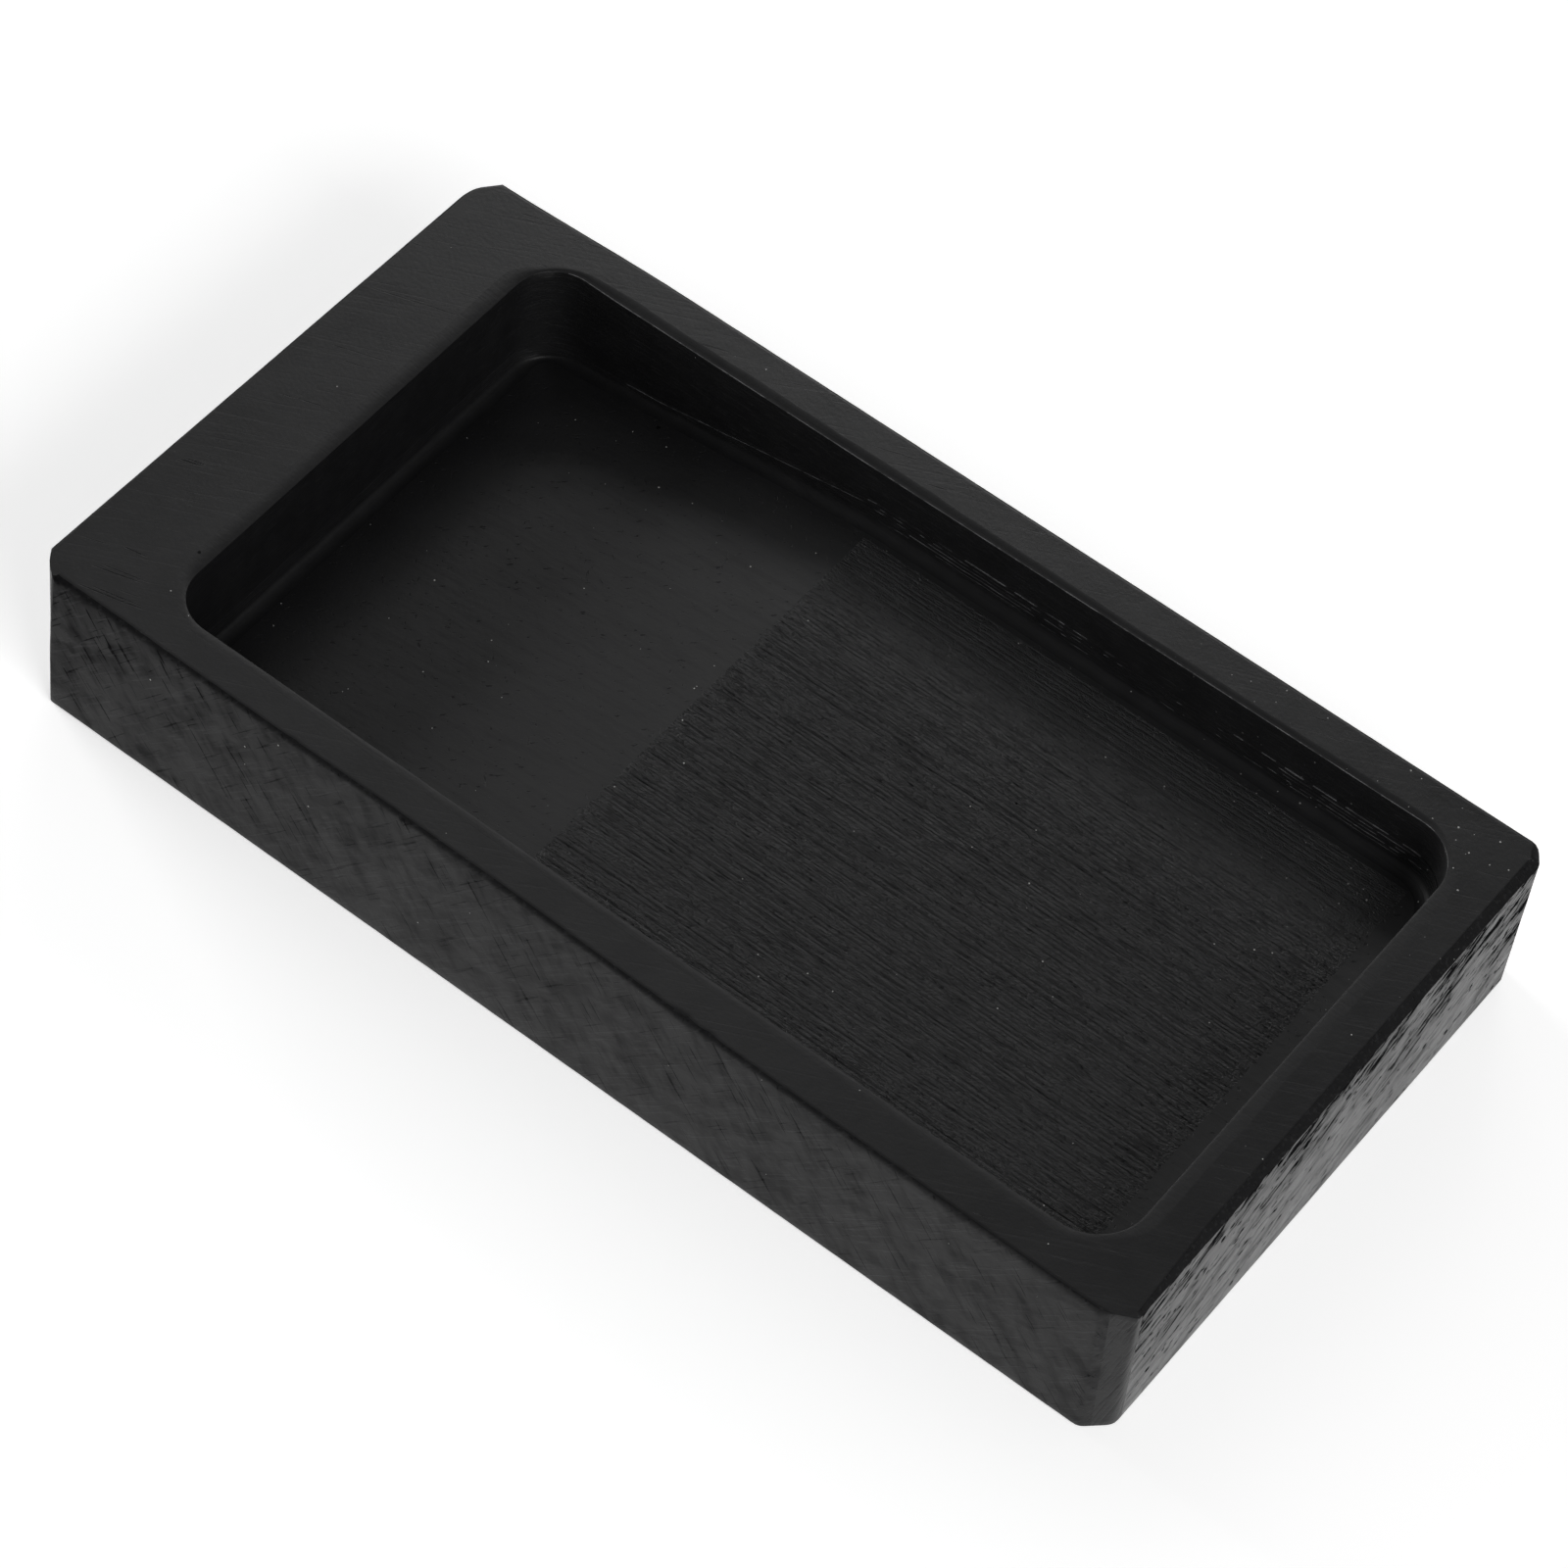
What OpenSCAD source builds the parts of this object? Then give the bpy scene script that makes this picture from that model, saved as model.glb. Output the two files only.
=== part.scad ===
// Ink stone: one slab of black stone, ground square, with a pocket milled into its top.
// The pocket's flat bed is where the ink stick is rubbed with water. Towards the head of
// the slab the bed breaks into a ramp, and the ink runs down it to the deep well.
// All lengths are in millimetres. The slab stands on z = 0 and is centred on x and y.
// The head, with its wide border and the well, lies towards -x, and the foot towards +x.
// The near side, whose two corners are cut flat, lies towards -y.

/* [Slab] */
// Length of the slab, head to foot
slab_l = 130; // [115:1:160]
// Width of the slab
slab_w = 69; // [60:1:90]
// Thickness of the slab
slab_h = 20; // [17:0.5:30]

/* [Corners] */
// Flat cut across the near corner at the head, measured along each side
head_cut = 2.5; // [1.2:0.1:4]
// Flat cut across the near corner at the foot, measured along each side
foot_cut = 2.2; // [1.2:0.1:4]
// Radius of the far corner at the head
head_far_r = 2; // [1.2:0.1:4]
// Radius of the far corner at the foot
foot_far_r = 1.4; // [1.2:0.1:4]

/* [Outer edges] */
// Bevel round the top face, measured along each face that it joins
top_bevel = 0.6; // [0.2:0.1:1]
// Bevel round the underside, measured along each face that it joins
base_bevel = 0.4; // [0.2:0.1:1]

/* [Pocket] */
// Border of top face left at the head
head_border = 12.2; // [8:0.1:18]
// Border of top face left at the foot
foot_border = 5.8; // [4:0.1:9]
// Border of top face left along each long side
side_border = 5.2; // [4:0.1:9]
// Radius of the pocket's corners, seen from above
pocket_r = 5; // [4:0.1:8]
// Radius of the pocket's worn rim
rim_r = 0.6; // [0.2:0.1:1.2]

/* [Floor] */
// Length of the flat bed, from the wall at the foot to the break of the floor
bed_l = 69; // [50:1:80]
// Depth of the bed below the top face
bed_depth = 7.7; // [6:0.1:9]
// Depth of the well below the top face, where the ramp meets the head wall
well_depth = 13.2; // [10:0.1:14]
// Radius of the cove where the floor turns up into the walls
cove_r = 1.6; // [0.8:0.1:2.4]
// Height above the floor of the seam where the two cuts of the wall meet
seam_h = 2.8; // [2.6:0.1:3.4]
// How far the lower cut stands in from the wall above the seam
seam_step = 0.2; // [0.1:0.05:0.4]

/* [Hidden] */
$fn = 96;
// How far a cutting shape runs past what it cuts
past = 1;
// How far each of the two lower cuts runs on past the break of the floor
lap = 2 * pocket_r;

// The pocket's walls, and the break where the flat bed ends and the ramp starts
head_x = head_border - slab_l / 2;
foot_x = slab_l / 2 - foot_border;
pocket_w = slab_w - 2 * side_border;
bed_z = slab_h - bed_depth;
break_x = foot_x - bed_l;
ramp_run = break_x - head_x;
ramp_fall = well_depth - bed_depth;
ramp_angle = atan(ramp_fall / ramp_run);

// Rounds a length to a hundredth, so that what is built from it meets exactly
function hundredth(x) = round(100 * x) / 100;

// The lower cut, inside the seam. Its head wall is square to the ramp, so its place is
// measured along the ramp, where the seam's plane meets the head wall above.
low_w = pocket_w - 2 * seam_step;
low_r = pocket_r - seam_step;
low_h = seam_h + seam_step;
low_run = hundredth((ramp_run - seam_step - seam_h * sin(ramp_angle)) / cos(ramp_angle));

// Corners of the slab's outline, anticlockwise from the near side at the head
outline = [
    [head_cut - slab_l / 2, -slab_w / 2],
    [slab_l / 2 - foot_cut, -slab_w / 2],
    [slab_l / 2, foot_cut - slab_w / 2],
    [slab_l / 2, slab_w / 2],
    [-slab_l / 2, slab_w / 2],
    [-slab_l / 2, head_cut - slab_w / 2]
];

// Cuts a bevel of width w along the top edge that runs from p to q, with the slab on its left
module edge_bevel(p, q, w) {
    run = norm(q - p);
    translate([p[0], p[1], slab_h])
        rotate([0, 0, atan2(q[1] - p[1], q[0] - p[0])])
            translate([run / 2, w, 0])
                rotate([45, 0, 0])
                    translate([0, 0, 2 * past])
                        cube([run + 4 * past, 8 * past, 4 * past], center = true);
}

// Bevels of width w along every straight edge of the slab's top
module top_bevels(w) {
    for (i = [0 : len(outline) - 1])
        edge_bevel(outline[i], outline[(i + 1) % len(outline)], w);
}

// Rounds one upright corner of the slab to radius r, with both bevels turned round it.
// Its axis is the origin, and the corner points along +x and +y.
module corner_round(r) {
    rotate_extrude(angle = 90)
        polygon([
            [r - base_bevel, -past],
            [2 * r, -past],
            [2 * r, slab_h + past],
            [r - top_bevel, slab_h + past],
            [r - top_bevel, slab_h],
            [r, slab_h - top_bevel],
            [r, base_bevel],
            [r - base_bevel, 0]
        ]);
}

// The slab before the pocket is cut
module blank() {
    difference() {
        linear_extrude(slab_h) polygon(outline);
        top_bevels(top_bevel);
        translate([0, 0, slab_h]) mirror([0, 0, 1]) top_bevels(base_bevel);
        translate([slab_l / 2 - foot_far_r, slab_w / 2 - foot_far_r, 0])
            corner_round(foot_far_r);
        translate([head_far_r - slab_l / 2, slab_w / 2 - head_far_r, 0])
            mirror([1, 0, 0]) corner_round(head_far_r);
    }
}

// Sweeps an outline round a rounded rectangle. l and w are the distances between the
// centres of its corners. The child is drawn with x as the distance outwards from a
// corner's centre and y as the height.
module sweep_round(l, w) {
    for (turn = [0, 180])
        rotate([0, 0, turn]) {
            translate([l / 2, w / 2, 0]) rotate_extrude(angle = 90) children();
            translate([-l / 2, w / 2, 0])
                rotate([0, 0, 90]) rotate_extrude(angle = 90) children();
            translate([l / 2, w / 2, 0]) rotate([90, 0, 0]) linear_extrude(w) children();
            translate([-l / 2, w / 2, 0])
                rotate([0, 0, 90]) rotate([90, 0, 0]) linear_extrude(l) children();
        }
}

// Half of a trough's outline: x runs outwards from the centre of its corner to the wall,
// r away, and y up from the floor, which turns up into the wall by the cove
module trough_half(r, h) {
    union() {
        square([r - cove_r, h]);
        translate([0, cove_r]) square([r, h - cove_r]);
        translate([r - cove_r, cove_r]) circle(cove_r);
    }
}

// A trough l by w and h high on z = 0, with a cove round its floor. It runs from a plain
// end at x = 0 to an end at x = l whose corners have radius r.
module trough(l, w, r, h) {
    inner_w = w - 2 * r;
    translate([l - r, 0, 0])
        for (side = [0, 1])
            mirror([0, side, 0]) {
                translate([0, inner_w / 2, 0])
                    rotate_extrude(angle = 90) trough_half(r, h);
                translate([r - l, inner_w / 2, 0])
                    rotate([90, 0, 90]) linear_extrude(l - r) trough_half(r, h);
            }
    translate([l - r, inner_w / 2, 0]) rotate([90, 0, 0]) linear_extrude(inner_w) trough_half(r, h);
    translate([0, -inner_w / 2, 0]) cube([l - r, inner_w, h]);
}

// The lower cut over the flat bed. It runs on past the break above the ramp, where the
// other lower cut has taken everything.
module bed_cut() {
    translate([break_x - lap, 0, bed_z])
        trough(bed_l - seam_step + lap, low_w, low_r, low_h);
}

// The lower cut down the ramp. It leans as the ramp does, and runs on above the bed.
module ramp_cut() {
    translate([break_x, 0, bed_z])
        rotate([0, -ramp_angle, 0])
            mirror([1, 0, 0])
                translate([-lap, 0, 0]) trough(low_run + lap, low_w, low_r, low_h);
}

// The upper cut, with upright walls, from the seam to the top of the slab
module wall_cut() {
    mitre_x = break_x - seam_h * tan(ramp_angle / 2);
    left_x = head_x - past;
    intersection() {
        translate([(head_x + foot_x) / 2, 0, 0])
            upright_tub(foot_x - head_x, pocket_w, pocket_r, slab_h + past);
        translate([0, slab_w / 2, 0])
            rotate([90, 0, 0])
                linear_extrude(slab_w)
                    polygon([
                        [left_x, slab_h + 2 * past],
                        [left_x, bed_z + seam_h - (mitre_x - left_x) * tan(ramp_angle)],
                        [mitre_x, bed_z + seam_h],
                        [foot_x + past, bed_z + seam_h],
                        [foot_x + past, slab_h + 2 * past]
                    ]);
    }
}

// A plain rounded block l by w with corner radius r, from z = 0 to h
module upright_tub(l, w, r, h) {
    linear_extrude(h)
        union() {
            square([l - 2 * r, w], center = true);
            square([l, w - 2 * r], center = true);
            for (x = [-1, 1], y = [-1, 1])
                translate([x * (l / 2 - r), y * (w / 2 - r)]) circle(r);
        }
}

// The strip that wear has taken off the pocket's rim
module rim_wear() {
    translate([(head_x + foot_x) / 2, 0, slab_h - rim_r])
        sweep_round(foot_x - head_x - 2 * pocket_r, pocket_w - 2 * pocket_r)
            difference() {
                translate([pocket_r - past, 0]) square([rim_r + past, rim_r + past]);
                translate([pocket_r + rim_r, 0]) circle(rim_r);
            }
}

// Everything that is cut out of the blank's top
module pocket() {
    wall_cut();
    bed_cut();
    ramp_cut();
    rim_wear();
}

module slab() {
    color("#262626")
        difference() {
            blank();
            pocket();
        }
}

slab();
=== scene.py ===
"""Ink stone: one slab of black stone with a ground top, a milled pocket and rubbed sides.

The head, with its wide border and the deep end of the pocket, lies towards -x and the foot
towards +x. The slab stands on z = 0, centred on x and y. Sizes are in metres.
"""

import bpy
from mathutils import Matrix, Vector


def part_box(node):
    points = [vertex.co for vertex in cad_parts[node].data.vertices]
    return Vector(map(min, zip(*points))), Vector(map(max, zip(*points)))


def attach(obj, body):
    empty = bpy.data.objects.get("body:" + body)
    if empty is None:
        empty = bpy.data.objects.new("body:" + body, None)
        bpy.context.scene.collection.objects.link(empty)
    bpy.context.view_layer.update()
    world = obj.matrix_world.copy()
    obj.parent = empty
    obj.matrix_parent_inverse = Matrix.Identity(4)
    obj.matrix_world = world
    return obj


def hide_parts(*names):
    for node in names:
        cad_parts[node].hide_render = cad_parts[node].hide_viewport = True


bl_info = {
    "name": "Ink stone",
    "version": (1, 0, 0),
    "blender": (4, 5, 0),
    "location": "View3D > Sidebar > Ink stone",
    "description": "Makes a carved ink stone with its worn edges, scored bed and stone finishes",
    "category": "Object",
}

import math
import random

import bmesh
import bpy
import numpy as np
from bpy.props import FloatProperty, FloatVectorProperty, IntProperty, PointerProperty
from mathutils import Matrix, Vector
from mathutils.geometry import delaunay_2d_cdt

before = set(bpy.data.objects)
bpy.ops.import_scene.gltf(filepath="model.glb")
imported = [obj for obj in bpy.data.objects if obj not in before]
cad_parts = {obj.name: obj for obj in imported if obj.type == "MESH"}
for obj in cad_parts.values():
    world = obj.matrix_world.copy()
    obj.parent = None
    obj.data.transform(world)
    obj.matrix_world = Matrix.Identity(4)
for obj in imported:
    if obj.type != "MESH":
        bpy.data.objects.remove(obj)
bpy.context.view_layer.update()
# Upper far corner of the slab at the foot: half its length, half its width and its height
SLAB_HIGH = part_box("slab")[1]

MM = 0.001
# Finishes of the stone, in the order of LOOKS
TOP, POCKET, BED, SIDE, END, BASE, RIM, WALL, SEAM, CUT, COVE = range(11)


def linear(colour_hex):
    """A colour written as sRGB hex, as the linear values that Blender takes."""
    channels = [int(colour_hex[i:i + 2], 16) / 255 for i in (1, 3, 5)]
    return tuple(c / 12.92 if c <= 0.04045 else ((c + 0.055) / 1.055) ** 2.4 for c in channels)


def length(name, millimetres, description):
    """A property that holds a length."""
    return FloatProperty(
        name=name, description=description, default=millimetres * MM, min=0,
        unit="LENGTH", subtype="DISTANCE", precision=5,
    )


class StoneSizes(bpy.types.PropertyGroup):
    """The slab and its pocket, as the solid has them."""

    head_border: length("Head border", 12.1, "Top face left at the head")
    foot_border: length("Foot border", 5.8, "Top face left at the foot")
    side_border: length("Side border", 5.2, "Top face left along each long side")
    pocket_radius: length("Pocket corner", 5.0, "Radius of the pocket's corners at the head")
    foot_pocket_radius: length("Foot corner", 5.6, "Radius of the pocket's corners at the foot")
    bed_length: length("Bed length", 69.0, "Flat bed, from the foot wall to the break")
    bed_depth: length("Bed depth", 7.7, "Depth of the bed below the top")
    well_depth: length("Well depth", 13.2, "Depth of the floor at the head wall")
    cove_radius: length("Cove", 1.6, "Radius where the floor turns up into the walls")
    seam_height: length("Seam height", 2.8, "Height of the seam in the walls above the floor")
    seam_step: length("Seam step", 0.2, "Ledge at the seam")
    head_cut_along: length("Head cut along", 1.85, "Cut near corner at the head, along the side")
    head_cut_across: length("Head cut across", 2.65, "Cut near corner at the head, along the head")
    foot_cut_along: length("Foot cut along", 2.8, "Cut near corner at the foot, along the side")
    foot_cut_across: length("Foot cut across", 2.0, "Cut near corner at the foot, along the foot")
    cut_lean: length("Cut lean", 0.35, "How far the two flat cuts lean away from upright")
    cut_easing: length("Cut easing", 0.3, "Radius left on the edges of the two cuts")
    far_cut_along: length("Far cut along", 1.9, "Worn far head corner, along the far side")
    far_cut_across: length("Far cut across", 3.4, "Worn far head corner, along the head")
    head_far_radius: length("Far head corner", 6.0, "Radius where that cut runs into the head")
    foot_far_along: length("Far foot along", 1.2, "Worn far foot corner, along the far side")
    foot_far_across: length("Far foot across", 1.7, "Worn far foot corner, along the foot")


class StoneWear(bpy.types.PropertyGroup):
    """What making and use have left on the stone."""

    seed: IntProperty(name="Seed", description="Start of the random draws", default=7)
    head_skew: length("Head rim skew", 0.4, "How far the head rim runs out of square at each end")
    far_skew: length("Far rim skew", 0.16, "How far the far rim runs out towards the foot")
    side_hollow: length("Side hollow", 0.68, "How far rubbing has set in the near side's top")
    far_easing: length("Far edge easing", 0.6, "How far the far edge is rubbed back at the head")
    base_bevel: length("Base bevel", 0.4, "Rounding of the lower edges")
    groove_pitch: length("Groove pitch", 0.56, "Spacing of the grooves on the bed")
    groove_depth: length("Groove depth", 0.1, "Depth of the deepest grooves")
    unevenness: length("Unevenness", 0.03, "Waviness of the ground faces")


class StoneColours(bpy.types.PropertyGroup):
    """Colours of the stone and of what lies on it."""

    stone: FloatVectorProperty(
        name="Stone", description="Black fine-grained stone", subtype="COLOR",
        default=linear("#131314"), min=0, max=1,
    )
    rubbed: FloatVectorProperty(
        name="Rubbed stone", description="Stone made paler by scratches", subtype="COLOR",
        default=linear("#1e1e1f"), min=0, max=1,
    )
    # Pale colour of the seam's ledges: chipped stone, and painted highlight where they catch light
    seam_chips_and_highlight: FloatVectorProperty(
        name="Fresh stone", description="Pale powdery stone in fresh chips", subtype="COLOR",
        default=linear("#606062"), min=0, max=1,
    )
    # The pits' colour, darker than the stone: painted shade inside them
    painted_pit_shade: FloatVectorProperty(
        name="Pit", description="Inside of small open pits", subtype="COLOR",
        default=linear("#0a0a0a"), min=0, max=1,
    )
    dust: FloatVectorProperty(
        name="Dust", description="Specks of pale stone dust", subtype="COLOR",
        default=linear("#b4b4b2"), min=0, max=1,
    )


class StageLook(bpy.types.PropertyGroup):
    """The floor and the lamps."""

    floor: FloatVectorProperty(
        name="Floor", description="Pale floor", subtype="COLOR",
        default=linear("#f2f2f2"), min=0, max=1,
    )
    power: FloatProperty(
        name="Lamps", description="Power of all lamps together", default=1.0, min=0,
    )
    sky: FloatProperty(
        name="Room", description="Strength of the room's grey light", default=0.17, min=0,
    )


def smooth(low, high, value):
    """0 below low, 1 above high and an even curve between them."""
    t = np.clip((value - low) / (high - low), 0, 1)
    return t * t * (3 - 2 * t)


def waves(along, across, period, seed):
    """A gentle wobble between -1 and 1 over two lengths, its main waves about a period long."""
    draw = random.Random(seed)
    total = 0
    for octave in range(4):
        turn = draw.uniform(0, math.tau)
        shift = draw.uniform(0, math.tau)
        wave = math.tau / (period * 0.7 ** octave)
        total = total + np.sin(wave * (along * math.cos(turn) + across * math.sin(turn)) + shift)
    return total / 4


class Outline:
    """A closed outline with rounded corners, seen from above, that can be drawn further in.

    corners holds (x, y, radius), anticlockwise. Every ring that it gives has the same
    number of points, so that rings join up into strips.
    """

    def __init__(self, corners, step, like=None):
        self.corners = corners
        self.step = step
        self.parts = like.parts if like else self._count()
        self.base = self._points(0)
        inner = self._points(1 * MM)
        self.inward = (inner - self.base) / (1 * MM)
        facing = self.inward / np.linalg.norm(self.inward, axis=1)[:, None]
        self.outward = -facing

    def _count(self):
        """How many parts each corner and each straight run after it is drawn with."""
        # Corners of three parts are enough to measure them by
        self.parts = [(3, 1)] * len(self.corners)
        arcs = [self._corner(k, 0) for k in range(len(self.corners))]
        parts = []
        for k, arc in enumerate(arcs):
            curve = np.linalg.norm(np.diff(arc, axis=0), axis=1).sum()
            gap = np.linalg.norm(arcs[(k + 1) % len(arcs)][0] - arc[-1])
            parts.append((max(3, math.ceil(curve / self.step)), max(1, round(gap / self.step))))
        return parts

    def _corner(self, k, inset):
        """The arc at corner k of the outline drawn in by inset, from its first point on."""
        x, y, radius = self.corners[k]
        before = Vector(self.corners[k - 1][:2])
        after = Vector(self.corners[(k + 1) % len(self.corners)][:2])
        here = Vector((x, y))
        normals = []
        for run in ((here - before).normalized(), (after - here).normalized()):
            normals.append(Vector((-run.y, run.x)))
        mitre = (normals[0] + normals[1]) / (1 + normals[0].dot(normals[1]))
        turned = max(radius - inset, 0.05 * MM)
        centre = here + mitre * (inset + turned)
        start = math.atan2(-normals[0].y, -normals[0].x)
        turn = normals[0].angle(normals[1])
        parts = self.parts[k][0]
        angles = start + turn * np.arange(parts + 1) / parts
        return np.array(centre) + turned * np.column_stack((np.cos(angles), np.sin(angles)))

    def _points(self, inset):
        """All points of the outline drawn in by inset."""
        arcs = [self._corner(k, inset) for k in range(len(self.corners))]
        points = []
        for k, arc in enumerate(arcs):
            after = (k + 1) % len(arcs)
            parts = self.parts[k][1]
            between = np.arange(1, parts)[:, None] / parts
            points.append(arc)
            points.append(arc[-1] + between * (arcs[after][0] - arc[-1]))
        return np.concatenate(points)

    def ring(self, inset):
        """The outline drawn in by inset, one length or one for each point."""
        return self.base + self.inward * np.reshape(inset, (-1, 1))

    def by_side(self, head, foot, near, far):
        """A value for each point from the values that the four sides have."""
        x, y = self.outward[:, 0], self.outward[:, 1]
        ends = np.where(x < 0, head, foot)
        sides = np.where(y < 0, near, far)
        return ends * x * x + sides * y * y


class Skin:
    """The slab's closed mesh while it is being made."""

    def __init__(self):
        self.points = []
        self.faces = []
        self.finishes = []
        self.count = 0

    def add(self, flat, height):
        """Adds points from their places seen from above and their heights, and numbers them."""
        heights = np.broadcast_to(height, (len(flat),))
        self.points.append(np.column_stack((flat, heights)))
        self.count += len(flat)
        return np.arange(self.count - len(flat), self.count)

    def face(self, corners, finish):
        """Adds a face from the numbers of its corners."""
        self.faces.append(corners)
        self.finishes.append(finish)

    def strip(self, ring, following, finish):
        """Joins two rings. finish is one finish, or one for each face."""
        kinds = np.broadcast_to(finish, (len(ring),))
        for i in range(len(ring)):
            j = (i + 1) % len(ring)
            self.face((ring[i], ring[j], following[j], following[i]), int(kinds[i]))

    def grid(self, rows, finish):
        """Joins rows of point numbers into a sheet."""
        for lower, upper in zip(rows[:-1], rows[1:]):
            for i in range(len(lower) - 1):
                self.face((lower[i], lower[i + 1], upper[i + 1], upper[i]), finish)

    def fill(self, rings, inner, finish):
        """Fills the flat space inside the first ring and outside the others with triangles."""
        numbers = np.concatenate([*rings, inner]).astype(int)
        everything = np.concatenate(self.points)
        flat = [Vector(p[:2] / MM) for p in everything[numbers]]
        edges, start = [], 0
        for ring in rings:
            last = start + len(ring) - 1
            edges += [(start + i, start + i + 1) for i in range(len(ring) - 1)] + [(last, start)]
            start = last + 1
        found = delaunay_2d_cdt(flat, edges, [], 1, 1e-6)
        names = [numbers[ids[0]] for ids in found[3]]
        holes = [set(ring) for ring in rings[1:]]
        for triangle in found[2]:
            corners = tuple(names[i] for i in triangle)
            if not any(hole.issuperset(corners) for hole in holes):
                self.face(corners, finish)


def stone_outline(sizes, cuts, easing, like=None):
    """The slab's outline, anticlockwise from the near side at the head.

    cuts holds how far each near corner is cut along its two sides, head corner first, and
    easing is the radius left on the edges of the foot corner's cut.
    """
    x, y = SLAB_HIGH.x, SLAB_HIGH.y
    (head_along, head_across), (foot_along, foot_across) = cuts
    return Outline([
        (head_along - x, -y, sizes.cut_easing),
        (x - foot_along, -y, easing),
        (x, foot_across - y, easing),
        (x, y - sizes.foot_far_across, 2 * sizes.cut_easing),
        (x - sizes.foot_far_along, y, 5 * sizes.cut_easing),
        (sizes.far_cut_along - x, y, 2 * sizes.cut_easing),
        (-x, y - sizes.far_cut_across, sizes.head_far_radius),
        (-x, head_across - y, sizes.cut_easing),
    ], 0.5 * MM, like)


def pocket_outline(sizes, wear):
    """The line of the pocket's upright walls. The head wall runs slightly out of square."""
    head = sizes.head_border - SLAB_HIGH.x
    foot = SLAB_HIGH.x - sizes.foot_border
    half = SLAB_HIGH.y - sizes.side_border
    skew = wear.head_skew
    return Outline([
        (head + skew, -half, sizes.pocket_radius),
        (foot, -half, sizes.foot_pocket_radius),
        (foot, half + wear.far_skew, sizes.foot_pocket_radius),
        (head - skew, half + 0.3 * wear.far_skew, sizes.pocket_radius),
    ], 0.55 * MM)


class Floor:
    """Heights of the pocket's floor: a flat bed that breaks into a ramp."""

    def __init__(self, sizes):
        self.foot = SLAB_HIGH.x - sizes.foot_border
        self.half = SLAB_HIGH.y - sizes.side_border
        self.bed = SLAB_HIGH.z - sizes.bed_depth
        self.break_x = self.foot - sizes.bed_length
        run = self.break_x - (sizes.head_border - SLAB_HIGH.x)
        self.slope = (sizes.well_depth - sizes.bed_depth) / run
        self.soft = 0.8 * MM

    def height(self, x):
        """The floor's height at x, with the break slightly rounded over."""
        past = self.break_x - x
        rounded = np.maximum(past + self.soft, 0) ** 2 / (4 * self.soft)
        return self.bed - self.slope * np.where(past > self.soft, past, rounded)


def chipped(x, seed):
    """How far small chips have broken the near top edge back, at places x along it."""
    draw = random.Random(seed)
    broken = 0 * x
    # Middle, half width and depth of each chip, in millimetres, the two large ones first
    chips = [(14.5, 1.3, 0.45), (17.5, 0.7, 0.3)]
    for _ in range(14):
        chips.append((draw.uniform(-60, 62), draw.uniform(0.3, 0.8), draw.uniform(0.04, 0.16)))
    for middle, half, depth in chips:
        ragged = 0.75 + 0.25 * waves(x, 0 * x, half * MM, int(10 * half) + 3)
        broken = broken + depth * MM * ragged * np.exp(-((x / MM - middle) / half) ** 2)
    return broken


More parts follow.
